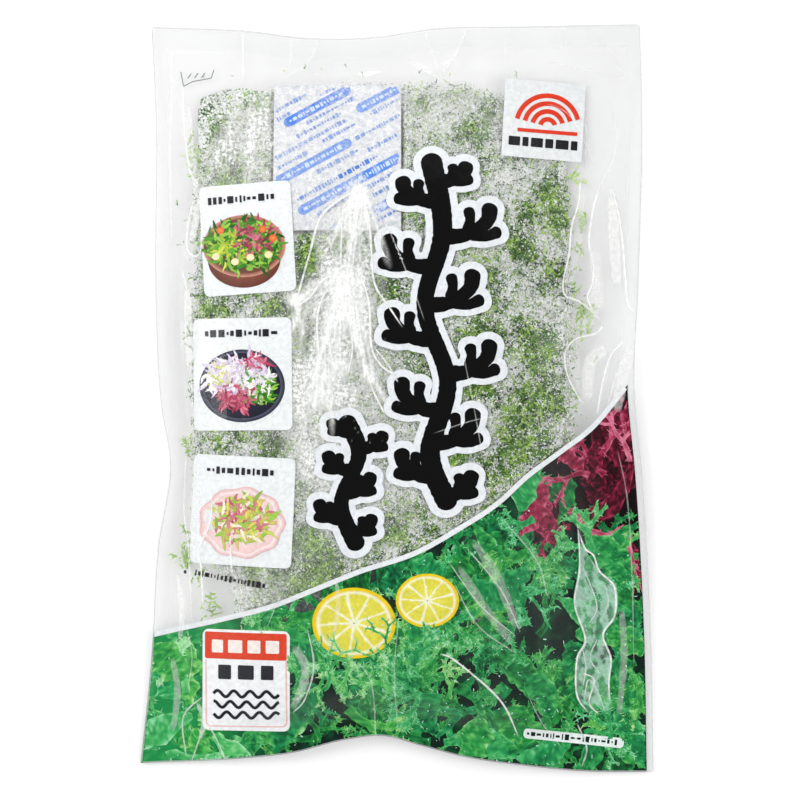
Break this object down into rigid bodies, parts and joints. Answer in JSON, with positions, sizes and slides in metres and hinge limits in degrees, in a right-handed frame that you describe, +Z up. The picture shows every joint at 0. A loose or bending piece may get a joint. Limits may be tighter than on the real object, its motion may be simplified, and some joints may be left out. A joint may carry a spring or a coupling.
{
  "type": "pouch of salted tosaka seaweed",
  "caption": "Clear sealed pouch of salted green tosaka seaweed, printed on its front, with a paper sachet and loose sprigs inside, lying flat on its back.",
  "frame": {"origin": "middle of the pouch's outline, on the surface that it lies on", "axes": "+X to the right across the pouch, +Y towards its top seal, +Z up out of its printed front"},
  "size_m": [0.206, 0.3, 0.0251],
  "materials": {
    "clear_film": "glossy clear packaging film",
    "seaweed": "moist gelatinous green fronds crusted with salt",
    "sachet_paper": "coated white paper with blue bars"
  },
  "bodies": {
    "root": {"front_film": "clear_film", "back_film": "clear_film", "seaweed_block": "seaweed", "sachet": "sachet_paper", "sprig_right_upper": "seaweed", "sprig_right_middle": "seaweed", "sprig_right_lower": "seaweed", "sprig_right_bottom": "seaweed", "sprig_left_middle": "seaweed", "sprig_left_bottom": "seaweed"}
  },
  "joints": []
}
